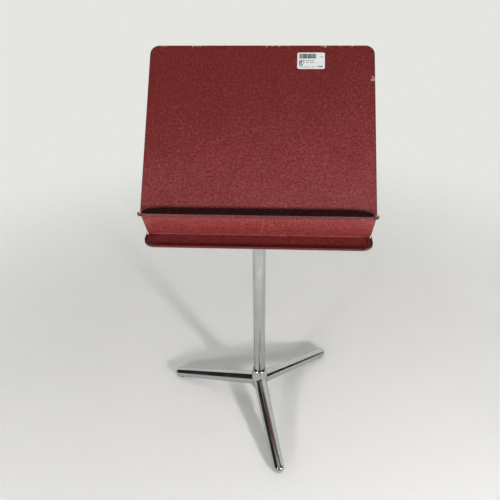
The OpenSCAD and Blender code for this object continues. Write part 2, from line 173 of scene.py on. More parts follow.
class Finish:
    """A material and the nodes that make it."""

    def __init__(self, name):
        self.material = bpy.data.materials.new(name)
        self.material.use_nodes = True
        self.tree = self.material.node_tree
        self.shader = self.tree.nodes["Principled BSDF"]
        self.place = self.node("TexCoord", {}, out="Object")

    def node(self, kind, takes, out=0, **settings):
        made = self.tree.nodes.new("ShaderNode" + kind)
        for key, value in settings.items():
            setattr(made, key, value)
        for key, value in takes.items():
            self.feed(made.inputs[key], value)
        return Value(self, made.outputs[out])

    def feed(self, socket, value):
        if isinstance(value, Value):
            self.tree.links.new(value.socket, socket)
        else:
            socket.default_value = value

    def noise(self, scale, detail=3.0, rough=0.5, at=None, warp=0.0):
        takes = {
            "Vector": at or self.place, "Scale": scale, "Detail": detail, "Roughness": rough,
            "Distortion": warp,
        }
        return self.node("TexNoise", takes)

    def step(self, value, low, high):
        """0 below low, 1 above high and smooth between them."""
        takes = {"Value": value, "From Min": low, "From Max": high}
        return self.node("MapRange", takes, interpolation_type="SMOOTHSTEP")

    def mix(self, share, first, second):
        """From the first colour to the second as share goes from 0 to 1."""
        return self.node("Mix", {0: share, 6: first, 7: second}, out=2, data_type="RGBA")

    def bump(self, height, depth, strength=1.0, on=None):
        takes = {"Height": height, "Distance": depth, "Strength": strength}
        if on is not None:
            takes["Normal"] = on
        return self.node("Bump", takes)

    def turned(self, origin, turn):
        """Object coordinates centred at origin and turned with a tilted part."""
        takes = {"Vector": self.place, "Location": origin, "Rotation": turn}
        return self.node("Mapping", takes, vector_type="TEXTURE")

    def axis(self, vector, name):
        return self.node("SeparateXYZ", {0: vector}, out=name)

    def done(self, **sockets):
        for key, value in sockets.items():
            self.feed(self.shader.inputs[key.replace("_", " ")], value)
        print("finish", self.material.name, len(self.tree.nodes), "nodes")
        return self.material


# %% [markdown]
# ## Staging
# A pale floor curves up into a pale backdrop well behind the stand, as in a photographer's cove. A wide lamp
# overhead lights the cove alone, through light linking, and gives the legs soft shadows. Far from the stand
# the paper glows instead, in the room's own tone, so that no horizon shows from any side. Two small lamps
# stand low in front, so that the lip of the upper ledge throws a band of shade on the plate behind it.

# %% Cove
COVE_PALE = (0.62, 0.625, 0.605, 1)
COVE_GLOW = (0.04, 0.04, 0.039, 1)
ROOM_TONE = (0.78, 0.785, 0.755, 1)
NO_GLOW = (0, 0, 0, 1)
COVE_HALF = 9.0
COVE_START = 1.6
COVE_RADIUS = 0.6
COVE_TOP = 5.2
COVE_STEPS = 16
GLOW_FROM, GLOW_FULL = 0.5, 2.0


def cove_paper():
    finish = Finish("cove paper")
    away = finish.node("VectorMath", {0: finish.place}, out="Value", operation="LENGTH")
    far = finish.step(away, GLOW_FROM, GLOW_FULL)
    return finish.done(
        Base_Color=finish.mix(far, COVE_PALE, NO_GLOW), Roughness=0.7, Specular_IOR_Level=0.0,
        Emission_Color=finish.mix(far, COVE_GLOW, ROOM_TONE), Emission_Strength=1.0,
    )


def stage_cove():
    bm = bmesh.new()
    near, far = [bm.verts.new((-COVE_HALF, y, 0)) for y in (-COVE_HALF, COVE_START)]
    bm.edges.new((near, far))
    arc = bmesh.ops.spin(
        bm, geom=[far], axis=(1, 0, 0), cent=(-COVE_HALF, COVE_START, COVE_RADIUS), angle=pi / 2,
        steps=COVE_STEPS, use_duplicate=False,
    )["geom_last"]
    bm.edges.new((arc[0], bm.verts.new((-COVE_HALF, COVE_START + COVE_RADIUS, COVE_TOP))))
    grown = bmesh.ops.extrude_edge_only(bm, edges=bm.edges[:])["geom"]
    across = [item for item in grown if isinstance(item, bmesh.types.BMVert)]
    bmesh.ops.translate(bm, verts=across, vec=(2 * COVE_HALF, 0, 0))
    bmesh.ops.recalc_face_normals(bm, faces=bm.faces[:])
    mesh = bpy.data.meshes.new("cove")
    bm.to_mesh(mesh)
    bm.free()
    for face in mesh.polygons:
        face.use_smooth = True
    cove = bpy.data.objects.new("cove", mesh)
    bpy.context.scene.collection.objects.link(cove)
    mesh.materials.append(cove_paper())
    print("cove", len(mesh.polygons), "faces")
    return cove


COVE = stage_cove()

# %% Lights
DESK_MIDDLE = Vector((POST.x, POST.y - 0.05, 0.72))
LEFT_AT, RIGHT_AT = (-1.3, -2.0, 0.98), (1.5, -2.0, 0.98)
COVE_LAMP_AT, COVE_LAMP_AIM = (0.0, 0.9, 3.2), (0.0, 0.9, 0.0)
SMALL_LAMP, WIDE_LAMP = 0.30, 5.0


def soft_light(name, at, aim, size, watts):
    lamp = bpy.data.objects.new(name, bpy.data.lights.new(name, "AREA"))
    lamp.data.shape = "DISK"
    lamp.data.size = size
    lamp.data.energy = watts
    lamp.location = at
    lamp.rotation_euler = (Vector(aim) - Vector(at)).to_track_quat("-Z", "Y").to_euler()
    lamp.visible_camera = False
    bpy.context.scene.collection.objects.link(lamp)
    print("light", name, watts, "W")
    return lamp


soft_light("left_lamp", LEFT_AT, DESK_MIDDLE, SMALL_LAMP, 33)
soft_light("right_lamp", RIGHT_AT, DESK_MIDDLE, SMALL_LAMP, 42)
cove_lamp = soft_light("cove_lamp", COVE_LAMP_AT, COVE_LAMP_AIM, WIDE_LAMP, 54)
lit = bpy.data.collections.new("lit_by_cove_lamp")
lit.objects.link(COVE)
cove_lamp.light_linking.receiver_collection = lit

# %% [markdown]
# The room is dark but for one paler strip overhead, which runs from front to back and which only mirrors see.
# The side legs shine in it, and the desk hides it from the front one. For the eye itself the room is plain
# pale.

# %% Room
ROOM_DIM, ROOM_PALE, CEILING = 0.02, 0.78, 0.40
ROOM_TINT = (1, 1, 0.972, 1)
STRIP_EDGE, STRIP_FULL = 0.55, 0.30
FRONT_EDGE, FRONT_FULL = -0.80, -0.50

world = bpy.data.worlds.new("room")
world.use_nodes = True
room = world.node_tree


def room_node(kind, **takes):
    made = room.nodes.new("ShaderNode" + kind)
    for key, value in takes.items():
        socket = made.inputs[key.replace("_", " ")]
        if isinstance(value, bpy.types.NodeSocket):
            room.links.new(value, socket)
        else:
            socket.default_value = value
    return made


rays = room_node("LightPath").outputs
toward = room_node("SeparateXYZ", Vector=room_node("TexCoord").outputs["Generated"]).outputs
aside = room_node("Math", Value=toward["X"])
aside.operation = "ABSOLUTE"
strip = room_node(
    "MapRange", Value=aside.outputs[0], From_Min=STRIP_EDGE, From_Max=STRIP_FULL,
    To_Min=ROOM_DIM, To_Max=CEILING,
)
ceiling = room_node(
    "MapRange", Value=toward["Y"], From_Min=FRONT_EDGE, From_Max=FRONT_FULL,
    To_Min=ROOM_DIM, To_Max=strip.outputs[0],
)
mirrored = room_node("MapRange", Value=rays["Is Glossy Ray"], To_Min=ROOM_DIM, To_Max=ceiling.outputs[0])
seen = room_node("MapRange", Value=rays["Is Camera Ray"], To_Min=mirrored.outputs[0], To_Max=ROOM_PALE)
room.links.new(seen.outputs[0], room.nodes["Background"].inputs["Strength"])
room.nodes["Background"].inputs["Color"].default_value = ROOM_TINT
bpy.context.scene.world = world

# %% [markdown]
# ## The desk's enamel
# Both sheets are sprayed with a maroon enamel that dries into a leather grain. Cells a few millimetres wide
# and a finer ripple make the grain, in the colour and in a bump. Dust specks lie over the whole sheet, and a
# painted sheen makes the lower half paler and pinker, more so towards the right. Chips show the yellow
# primer:
# the larger ones are listed as spots on the desk, and smaller ones come where a `wear` value painted on the
# mesh is high, on the folds.

# %% Places on the desk
def desk_point(up, out):
    """A point in the side view: up the plate from the bend and out of its front."""
    plate_up = Vector((sin(LEAN), cos(LEAN)))
    plate_out = Vector((-cos(LEAN), sin(LEAN)))
    return Vector((PIVOT.y, PIVOT.z)) + (up - PIVOT_UP) * plate_up + (out + PIVOT_GAP) * plate_out


BEND = Vector((POST.x, *desk_point(0, 0)))
PLATE_TURN = (pi / 2 - LEAN, 0, 0)
TOP = PLATE_HEIGHT - 0.001
LIP_UP, LIP_OUT = -0.002, 0.044
# Across from the middle, up from the bend, out of the plate, and size
CHIPS = (
    (-0.227, TOP, 0, 0.0035), (-0.219, TOP, 0, 0.0030), (-0.157, TOP, 0, 0.0035),
    (-0.148, TOP, 0, 0.0030), (-0.140, TOP, 0, 0.0032), (0.012, TOP, 0, 0.0036),
    (0.026, TOP, 0, 0.0028), (0.040, TOP, 0, 0.0040), (0.060, TOP, 0, 0.0028),
    (0.137, TOP, 0, 0.0032), (0.144, TOP - 0.001, 0, 0.0046), (0.178, TOP, 0, 0.0030),
    (0.205, TOP, 0, 0.0036), (0.2525, 0.316, 0, 0.0048), (0.249, 0.314, 0, 0.0036),
    (0.250, 0.322, 0, 0.0026), (0.028, LIP_UP, LIP_OUT, 0.0040), (0.188, LIP_UP, LIP_OUT, 0.0036),
    (0.236, LIP_UP, LIP_OUT, 0.0040),
)


# %% Enamel
# The pink of the dust specks and of the painted sheen on the lower half of the desk.
DUST_AND_SHEEN_PINK = (0.40, 0.16, 0.155, 1)
WORN_RED = (0.070, 0.0012, 0.0020, 1)
PRIMER_PALE, PRIMER_DARK = (0.56, 0.44, 0.22, 1), (0.24, 0.19, 0.11, 1)
GRAIN_DEPTH, CHIP_DEPTH = 0.0009, 0.00012


def enamel(name, deep, dull_and_sheen):
    finish = Finish(name)
    flat = finish.turned(BEND, PLATE_TURN)
    across, up = finish.axis(flat, "X"), finish.axis(flat, "Y")
    wear = finish.node("Attribute", {}, out="Fac", attribute_name="wear")
    cell_takes = {"Vector": flat, "Scale": 300.0, "Smoothness": 0.4}
    cells = finish.node("TexVoronoi", cell_takes, feature="SMOOTH_F1")
    fine = finish.noise(560.0, 3.0, 0.6, at=flat)
    blotch = finish.noise(190.0, 3.0, 0.6, at=flat)
    grain = cells + fine * 0.5 + blotch * 1.2
    cloud = finish.noise(11.0, 4.0, 0.6, at=flat)
    patch = finish.noise(48.0, 4.0, 0.65, at=flat)
    # Painted sheen: this mask grows down the plate and towards its right, where the enamel is painted paler
    # and pinker.
    low = finish.step(up + cloud * 0.30 - across * 0.22, 0.52, 0.06)
    speck = finish.step(blotch * 0.55 + fine * 0.45, 0.36, 0.64)
    # The tone carries the painted sheen low on the plate, with random patches and grain specks.
    tone = (low * 0.70 + finish.step(patch, 0.35, 0.75) * 0.16 + (speck - 0.5) * 1.25) * (1 - wear)
    # Dust specks over the whole sheet, painted thicker low on the plate as part of the painted sheen.
    dust_and_sheen = finish.step(fine * 0.5 + cells * 0.6, 0.58, 0.80) * (0.08 + low * 0.30) * (1 - wear)
    spots = None
    for x, y, z, size in CHIPS:
        away = finish.node("VectorMath", {0: flat, 1: (x, y, z)}, out="Value", operation="DISTANCE")
        spots = size - away if spots is None else spots | (size - away)
    ragged = finish.noise(420.0, 3.0, 0.6)
    flake = finish.step(finish.noise(120.0, 4.0, 0.7) + wear * 0.08, 0.81, 0.825)
    chip = finish.step(spots + (ragged - 0.5) * 0.006, 0.0, 0.0005) | flake * finish.step(wear, 0.3, 0.6)
    primer = finish.mix(finish.step(ragged, 0.40, 0.60), PRIMER_PALE, PRIMER_DARK)
    body = finish.mix(tone, deep, dull_and_sheen)
    dust_and_sheen_coat = finish.mix(dust_and_sheen, body, DUST_AND_SHEEN_PINK)
    rubbed = finish.mix(wear * 0.7, dust_and_sheen_coat, WORN_RED)
    height = finish.bump(grain, GRAIN_DEPTH, 0.8)
    return finish.done(
        Base_Color=finish.mix(chip, rubbed, primer),
        Roughness=0.44 + low * 0.06 + chip * 0.2,
        Normal=finish.bump(1 - chip, CHIP_DEPTH, 0.8, on=height),
    )


DESK_ENAMEL = enamel("maroon enamel", (0.150, 0.0065, 0.0065, 1), (0.265, 0.040, 0.041, 1))
BRACKET_ENAMEL = enamel("bracket enamel", (0.120, 0.0085, 0.0080, 1), (0.180, 0.028, 0.028, 1))

# %% [markdown]
# ## Plated and plain metal
# Chrome plate is a mirror, so its roughness is nearly all it has: a haze of fine wiping marks, a few small
# pits and rust spots. The screws are zinc-plated and duller, and the inserts are turned brass.

# %% Metals
RUST = (0.16, 0.075, 0.035, 1)


def plated(name, colour, rough, haze, rust_amount, dents):
    finish = Finish(name)
    wipe = finish.node("Mapping", {"Vector": finish.place, "Scale": (900.0, 900.0, 40.0)})
    marks = finish.noise(1.0, 3.0, 0.6, at=wipe)
    cloud = finish.step(finish.noise(18.0, 3.0, 0.6), 0.35, 0.75)
    pits = finish.step(finish.noise(420.0, 2.0, 0.5), 0.72, 0.80)
    rust = finish.step(finish.noise(60.0, 5.0, 0.75, warp=0.4), 0.74 - rust_amount, 0.80 - rust_amount)
    tint = finish.mix(cloud, colour, tuple(c * 0.93 for c in colour[:3]) + (1,))
    spotted = finish.mix(rust | pits * 0.6, tint, RUST)
    swell = finish.noise(14.0, 2.0, 0.5)
    return finish.done(
        Base_Color=spotted,
        Metallic=1 - (rust * 0.9 | pits * 0.5),
        Roughness=rough + haze * cloud + marks * 0.03 + rust * 0.5,
        Normal=finish.bump(swell, dents, 0.6, on=finish.bump(1 - (pits | rust), 0.00005, 0.7)),
    )


CHROME = plated("chrome plate", (0.56, 0.58, 0.57, 1), 0.06, 0.08, 0.0, 0.0003)
CAST_CHROME = plated("chrome on castings", (0.56, 0.575, 0.575, 1), 0.08, 0.09, 0.03, 0.0008)
ZINC = plated("zinc plate", (0.55, 0.55, 0.54, 1), 0.28, 0.12, 0.02, 0.0001)
BRASS = plated("turned brass", (0.68, 0.50, 0.23, 1), 0.22, 0.12, 0.0, 0.0001)


# %% [markdown]
# ## Plastics, rubber and paper
# The knobs are moulded black phenolic with a faint orange peel and a dusty bloom. The bushes are milky nylon,
# the friction washers pressed fibre and the pads under the feet rubber.

# %% Mouldings
def moulded(name, colour, bloom, rough, grain_scale, depth):
    finish = Finish(name)
    peel = finish.noise(grain_scale, 3.0, 0.55)
    dust = finish.step(finish.noise(70.0, 5.0, 0.7), 0.45, 0.80)
    return finish.done(
        Base_Color=finish.mix(dust * 0.6, colour, bloom),
        Roughness=rough + dust * 0.18,
        Normal=finish.bump(peel, depth, 0.6),
    )


PHENOLIC = moulded("black phenolic", (0.012, 0.012, 0.013, 1), (0.05, 0.048, 0.045, 1), 0.32, 500.0, 0.00008)
NYLON = moulded("milky nylon", (0.70, 0.68, 0.60, 1), (0.56, 0.53, 0.45, 1), 0.42, 350.0, 0.00006)
FIBRE = moulded("pressed fibre", (0.055, 0.036, 0.026, 1), (0.11, 0.08, 0.06, 1), 0.75, 900.0, 0.0002)
RUBBER = moulded("pad rubber", (0.018, 0.018, 0.018, 1), (0.07, 0.065, 0.06, 1), 0.68, 420.0, 0.00015)


# %% [markdown]
# ## The label
# A plain white sticker, a little glossy. It carries a block of upright bars, thin broken lines, a corner
# block and two small tags, which spell nothing. All of it is arithmetic on the distance from the label's
# middle.

# %% Printed paper
EDGE = 0.0004
WHITE, YELLOWED, INK = (0.93, 0.94, 0.93, 1), (0.84, 0.82, 0.76, 1), (0.06, 0.08, 0.07, 1)


def printed_paper():
    low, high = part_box("price_label")
    finish = Finish("label paper")
    flat = finish.turned((low + high) / 2, PLATE_TURN)
    x, y = finish.axis(flat, "X"), finish.axis(flat, "Y")
    bar_grid = finish.node("Mapping", {"Vector": flat, "Scale": (620, 0, 0)})
    bars = finish.step(finish.noise(1.0, 1.0, at=bar_grid), 0.40, 0.44)
    line_grid = finish.node("Mapping", {"Vector": flat, "Scale": (420, 90, 0)})
    broken = finish.step(finish.noise(1.0, 2.0, at=line_grid), 0.42, 0.47)

    def between(value, low_edge, high_edge):
        past_low = finish.step(value, low_edge, low_edge + EDGE)
        past_high = finish.step(value, high_edge - EDGE, high_edge)
        return past_low * (1 - past_high)

    block = bars * between(x, -0.027, 0.012) * between(y, 0.005, 0.017)
    lines = between(y, -0.0005, 0.0015) | between(y, -0.0050, -0.0032) | between(y, -0.0160, -0.0142)
    upper_tag = between(x, 0.019, 0.027) * between(y, 0.008, 0.0105)
    lower_tag = between(x, 0.013, 0.027) * between(y, -0.016, -0.0120)
    tags = broken * (upper_tag | lower_tag)
    corner = broken * between(x, -0.027, -0.017) * between(y, -0.0125, 0.0015)
    print_mask = block | corner | tags | broken * lines * between(x, -0.027, 0.008)
    fold = finish.noise(60.0, 3.0, 0.5, at=flat)
    stain = finish.step(finish.noise(45.0, 4.0, 0.6, at=flat), 0.45, 0.8)
    paper = finish.mix(stain, WHITE, YELLOWED)
    return finish.done(
        Base_Color=finish.mix(print_mask * 0.92, paper, INK),
        Roughness=0.42 + stain * 0.15,
        Normal=finish.bump(fold, 0.0002, 0.4),
    )


PAPER = printed_paper()


# %% [markdown]
# ## Making a piece
# Every new piece ends the same way: its faces are turned outwards unless they already are, its mesh is made
# an object at the origin, sharp edges stay sharp and the rest is smooth, and it rides on the body of the part
# it stands for. The number of open edges is printed, because a closed piece has none.

# %% Finished pieces
SHARP = radians(35)
NEAR = 1e-6


def make_piece(bm, name, body, slot, material, *stands_for, outward=True):
    if outward:
        bmesh.ops.recalc_face_normals(bm, faces=bm.faces[:])
    mesh = bpy.data.meshes.new(name)
    open_edges = sum(1 for edge in bm.edges if len(edge.link_faces) != 2)
    bm.to_mesh(mesh)
    bm.free()
    for face in mesh.polygons:
        face.use_smooth = True
    mesh.set_sharp_from_angle(angle=SHARP)
    mesh.materials.append(material)
    piece = bpy.data.objects.new(name, mesh)
    bpy.context.scene.collection.objects.link(piece)
    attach(piece, body)
    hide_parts(*stands_for)
    print("piece", name, len(mesh.polygons), "faces,", open_edges, "open edges")


def soften(bm, width, segments=2, over=radians(40)):
    """Rounds every edge that turns by more than an angle."""
    sharp = [edge for edge in bm.edges if len(edge.link_faces) == 2 and edge.calc_face_angle(0) > over]
    bmesh.ops.bevel(
        bm, geom=sharp, offset=width, offset_type="OFFSET", segments=segments, profile=0.5,
        affect="EDGES", clamp_overlap=True, material=-1,
    )


def lathe(profile, steps=72):
    """Turns a list of (radius, height) about the Z axis into a closed shape."""
    bm = bmesh.new()
    verts = [bm.verts.new((radius, 0, height)) for radius, height in profile]
    edges = [bm.edges.new(pair) for pair in zip(verts, verts[1:])]
    bmesh.ops.spin(
        bm, geom=verts + edges, axis=(0, 0, 1), cent=(0, 0, 0), angle=2 * pi, steps=steps,
        use_merge=True, use_duplicate=False,
    )
    bmesh.ops.remove_doubles(bm, verts=bm.verts[:], dist=NEAR)
    bmesh.ops.recalc_face_normals(bm, faces=bm.faces[:])
    return bm


def move(bm, matrix):
    bmesh.ops.transform(bm, matrix=matrix, verts=bm.verts[:])


# %% [markdown]
# ## Folding sheet metal
# A press brake bends a flat blank along straight lines, so the model is made the same way. The blank is one
# face with rounded corners. Its border is turned over a small radius, back into a rim or forward into a lip,
# by extruding the border in steps. Then every point is carried onto the fold line, which is a chain of
# straight runs and arcs seen from the side.

# %% The fold line
class FoldLine:
    """A sheet's front surface seen from the side: X is toward the wall and Y is up."""

    def __init__(self, start, heading, runs):
        self.spans = []
        self.scores = []
        point, along, before = Vector(start), 0.0, 0.0
        for length, turn, radius in runs:
            after = radius * tan(abs(turn) / 2)
            straight = length - before - after
            self.spans.append((along, point.copy(), heading, 0.0))
            point += straight * self.direction(heading)
            along += straight
            if turn:
                curve = copysign(1 / radius, turn)
                self.spans.append((along, point.copy(), heading, curve))
                centre = point + self.normal(heading) / curve
                self.scores.append((along, along + radius * abs(turn)))
                heading += turn
                point = centre - self.normal(heading) / curve
                along += radius * abs(turn)
            before = after
        self.length = along

    @staticmethod
    def direction(heading):
        return Vector((cos(heading), sin(heading)))

    @staticmethod
    def normal(heading):
        return Vector((-sin(heading), cos(heading)))

    def place(self, x, along, height):
        reached = [span for span in self.spans if span[0] <= along + 1e-9 or span[0] == 0]
        start, point, heading, curve = reached[-1]
        if curve:
            centre = point + self.normal(heading) / curve
            heading += (along - start) * curve
            point = centre - self.normal(heading) / curve
        else:
            point = point + (along - start) * self.direction(heading)
        y, z = point + height * self.normal(heading)
        return Vector((x, y, z))


# %% Blank, turned border and fold
FOLD_RADIUS = 0.0024
HOLD = 0.0005
ARC_STEPS = 4
CORNER_STEPS = 10
FLAT = 1e-9
BORDER = HOLD + FOLD_RADIUS


def cut_blank(width, length, low_corner, top_corner, scores):
    """One face: X across, Y along the fold line and Z out of the front, cut across at each score."""
    bm = bmesh.new()
    half = width / 2 - BORDER
    outline = ((-half, BORDER, 0), (half, BORDER, 0), (half, length, 0), (-half, length, 0))
    corners = [bm.verts.new(place) for place in outline]
    bm.faces.new(corners)
    for pair, radius in ((corners[:2], low_corner), (corners[2:], top_corner)):
        if radius:
            bmesh.ops.bevel(
                bm, geom=pair, offset=radius - BORDER, offset_type="OFFSET", segments=CORNER_STEPS,
                profile=0.5, affect="VERTICES", material=-1,
            )
    for score in sorted(scores):
        everything = bm.verts[:] + bm.edges[:] + bm.faces[:]
        bmesh.ops.bisect_plane(bm, geom=everything, plane_co=(0, score, 0), plane_no=(0, 1, 0))
    return bm


def turn_border(bm, wear, low, high, steps):
    """Turns the border between two places along the sheet through (out, height, wear) steps."""
    middle = Vector((0, (min(v.co.y for v in bm.verts) + max(v.co.y for v in bm.verts)) / 2, 0))
    edges = [
        edge for edge in bm.edges
        if edge.is_boundary and all(
            low - NEAR <= v.co.y <= high + NEAR and abs(v.co.z) < FLAT for v in edge.verts
        )
    ]
    base = {}
    for edge in edges:
        a, b = edge.verts
        out = Vector((b.co.y - a.co.y, a.co.x - b.co.x, 0)).normalized()
        if out.dot((a.co + b.co) / 2 - middle) < 0:
            out = -out
        for vert in edge.verts:
            spot, total = base.get(vert, (vert.co.copy(), Vector()))
            base[vert] = (spot, total + out)
    base = {vert: (spot, total.normalized()) for vert, (spot, total) in base.items()}
    for out, height, amount in steps:
        grown = bmesh.ops.extrude_edge_only(bm, edges=edges)["geom"]
        fresh = {item for item in grown if isinstance(item, bmesh.types.BMVert)}
        carried = {}
        for vert in fresh:
            old = next(e.other_vert(vert) for e in vert.link_edges if e.other_vert(vert) in base)
            spot, outward = base[old]
            carried[vert] = (spot, outward)
        for vert, (spot, outward) in carried.items():
            vert.co = spot + outward * out + Vector((0, 0, height))
            vert[wear] = amount
        edges = [
            item for item in grown
            if isinstance(item, bmesh.types.BMEdge) and all(v in fresh for v in item.verts)
        ]
        base = carried


def border_steps(radius, depth, side):
    """A held flat strip, a quarter turn and a straight wall. Side is 1 for a lip and -1 for a rim."""
    arc = [k * pi / 2 / ARC_STEPS for k in range(1, ARC_STEPS + 1)]
    return [
        (HOLD, 0, 0.15),
        *[(HOLD + radius * sin(a), side * radius * (1 - cos(a)), 0.5 + 0.5 * sin(a)) for a in arc],
        (HOLD + radius, side * depth, 1.0 if side > 0 else 0.3),
    ]


# %% [markdown]
# ## The desk plate and its upper ledge
# One sheet makes the back plate and the ledge that the music stands on. The plate's top and sides turn back
# into a rim, and the ledge's front turns up into a lip. The sheet is thickened last, and here is a known
# fault: its points still carry the flat blank's normals, so the thickness runs straight down. That leaves
# slopes too thin, side walls with no thickness and the shelf's panel inside out. Calling bm.normal_update()
# before solidify would thicken it away from its front.

# %% Desk sheet
BEND_STEPS = 6
END_CLEAR = 0.01
SHEET_EDGE = 0.0003


def folded_sheet(name, line, low_corner, top_corner, turned, stands_for):
    scores = [place for start, end in line.scores for place in (
        start - HOLD, end + HOLD, *[start + (end - start) * k / BEND_STEPS for k in range(BEND_STEPS + 1)]
    )]
    border_ends = [place for low, high, steps in turned for place in (low, high)]
    scores += [place for place in border_ends if END_CLEAR < place < line.length - END_CLEAR]
    blank_length = line.length - (BORDER if top_corner else 0)
    bm = cut_blank(DESK_WIDTH, blank_length, low_corner, top_corner, scores)
    wear = bm.verts.layers.float.new("wear")
    for low, high, steps in turned:
        turn_border(bm, wear, low, high, steps)
    for vert in bm.verts:
        vert.co = line.place(vert.co.x + POST.x, vert.co.y, vert.co.z)
    bmesh.ops.solidify(bm, geom=bm.faces[:], thickness=SHEET)
    soften(bm, SHEET_EDGE, segments=1)
    make_piece(bm, name, "desk", "desk_paint", DESK_ENAMEL, stands_for)


TIGHT_BEND = 0.0020
lip_steps = border_steps(FOLD_RADIUS - SHEET, LIP_HEIGHT, 1)
rim_steps = border_steps(FOLD_RADIUS, RIM_DEPTH, -1)
bend = desk_point(0, 0)
ledge_front = bend + UPPER_LEDGE * Vector((-cos(LEDGE_RISE), sin(LEDGE_RISE)))
plate_line = FoldLine(ledge_front, -LEDGE_RISE, [
    (UPPER_LEDGE, pi / 2 - LEAN + LEDGE_RISE, TIGHT_BEND),
    (PLATE_HEIGHT, 0, 0),
])
bend_start, bend_end = plate_line.scores[0]
folded_sheet(
    "desk_plate_sheet", plate_line, LEDGE_CORNER, PLATE_CORNER,
    [(0, bend_start - 0.008, lip_steps), (bend_end + 0.002, plate_line.length, rim_steps)],
    "desk_panel",
)

# %% [markdown]
# ## The lower shelf
# The second sheet is welded behind the plate by a flange. It runs down and back as a panel with its own side
# returns, then forward as the lower ledge, whose lip keeps pencils from rolling off.

# %% Shelf sheet
panel_step = SHEET * tan((LEAN + PANEL_BACK) / 2)
shelf_bend = desk_point(panel_step, -SHEET)
shelf_corner = shelf_bend + LOWER_PANEL * Vector((sin(PANEL_BACK), -cos(PANEL_BACK)))
shelf_front = shelf_corner + LOWER_LEDGE * Vector((-cos(LEDGE_FALL), -sin(LEDGE_FALL)))
shelf_line = FoldLine(shelf_front, LEDGE_FALL, [
    (LOWER_LEDGE, pi / 2 + PANEL_BACK - LEDGE_FALL, TIGHT_BEND),
    (LOWER_PANEL, -(LEAN + PANEL_BACK), TIGHT_BEND + SHEET),
    (FLANGE, 0, 0),
])
corner_start, corner_end = shelf_line.scores[0]
back_start = shelf_line.scores[1][0]
folded_sheet(
    "lower_shelf_sheet", shelf_line, LEDGE_CORNER, 0,
    [(0, corner_start - 0.002, lip_steps), (corner_end + 0.001, back_start - 0.009, rim_steps)],
    "lower_shelf",
)

# %% Label
STICKER_THICK = 0.0002
STICKER_CORNER = 0.004


def label_sheet():
    low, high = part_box("price_label")
    centre = (low + high) / 2
    bm = bmesh.new()
    half_width = (high.x - low.x) / 2
    half_height = ((high.z - low.z) / cos(LEAN) - STICKER_THICK) / 2
    corners = [bm.verts.new(place) for place in (
        (-half_width, -half_height, 0), (half_width, -half_height, 0),
        (half_width, half_height, 0), (-half_width, half_height, 0),
    )]
    bm.faces.new(corners)
    bmesh.ops.bevel(
        bm, geom=corners, offset=STICKER_CORNER, offset_type="OFFSET", segments=6, profile=0.5,
        affect="VERTICES", material=-1,
    )
    bmesh.ops.solidify(bm, geom=bm.faces[:], thickness=STICKER_THICK)
    front = centre + Vector((0, -cos(LEAN), sin(LEAN))) * STICKER_THICK / 2
    move(bm, Matrix.Translation(front) @ Matrix.Rotation(pi / 2 - LEAN, 4, "X"))
    make_piece(bm, "label_sticker", "desk", "label_paper", PAPER, "price_label")


label_sheet()

# %% [markdown]
# ## The post
# Two chrome tubes, one sliding in the other. A tube is a small rectangle turned about the post's axis, with
# its ends softened where the saw cut was polished.

# %% Tubes
ROUND_STEPS = 96
TUBE_EDGE = 0.0004
OUTER_WALL, INNER_WALL = 0.0016, 0.0015


def tube(name, node, wall, body):
    low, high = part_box(node)
    outer = (high.x - low.x) / 2
    inner = outer - wall
    profile = [(outer, low.z), (outer, high.z), (inner, high.z), (inner, low.z), (outer, low.z)]
    bm = lathe(profile, ROUND_STEPS)
    soften(bm, TUBE_EDGE)
    move(bm, Matrix.Translation(POST))
    make_piece(bm, name, body, "chrome", CHROME, node)


tube("outer_post", "outer_tube", OUTER_WALL, "base")
tube("sliding_post", "inner_tube", INNER_WALL, "mast")


# %% [markdown]
# ## The hub and legs
# The hub is a turned casting with a rounded neck, and each leg is a slim cone with a ball end. The leg's root
# is shaped to the hub: every point of its last ring slides along the leg until it meets the hub's skin, so
# only a hairline shows between them.

# %% Hub
HUB_RADIUS = 0.0219
HUB_NECK = 0.01975
HUB_BORE = 0.0159
HUB_GAP = 0.0003


def hub():
    low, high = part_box("base_hub")
    bottom, top = low.z, high.z
    socket_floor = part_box("outer_tube")[0].z
    foot = [(0, 0), (HUB_RADIUS - 0.006, 0), (HUB_RADIUS - 0.0015, 0.0018), (HUB_RADIUS, 0.005)]
    shoulder = [
        (HUB_RADIUS, 0.0445), (HUB_RADIUS - 0.0007, 0.0460), (HUB_NECK + 0.0006, 0.0482), (HUB_NECK, 0.0500),
    ]
    profile = [(radius, bottom + up) for radius, up in foot + shoulder] + [
        (HUB_NECK, top - 0.0028), (HUB_NECK - 0.0006, top - 0.0012), (HUB_NECK - 0.0018, top),
        (HUB_BORE + 0.0008, top), (HUB_BORE, top - 0.0008), (HUB_BORE, socket_floor), (0, socket_floor),
    ]
    bm = lathe(profile, ROUND_STEPS)
    move(bm, Matrix.Translation(POST))
    make_piece(bm, "hub_casting", "base", "chrome_casting", CAST_CHROME, "base_hub")


hub()

# %% Legs
LEG_AXIS_Z = 0.073
TIP_AXIS_Z = 0.013
LEG_ROOT = 0.0187
LEG_TIP = 0.0140
PAD_BACK = 0.006
SOLE_Z = 0.0025
ROOT_START = 0.034
LEG_RINGS, TIP_RINGS = 8, 14
MANY_SIDES = 200
ON_AXIS = 1e-10


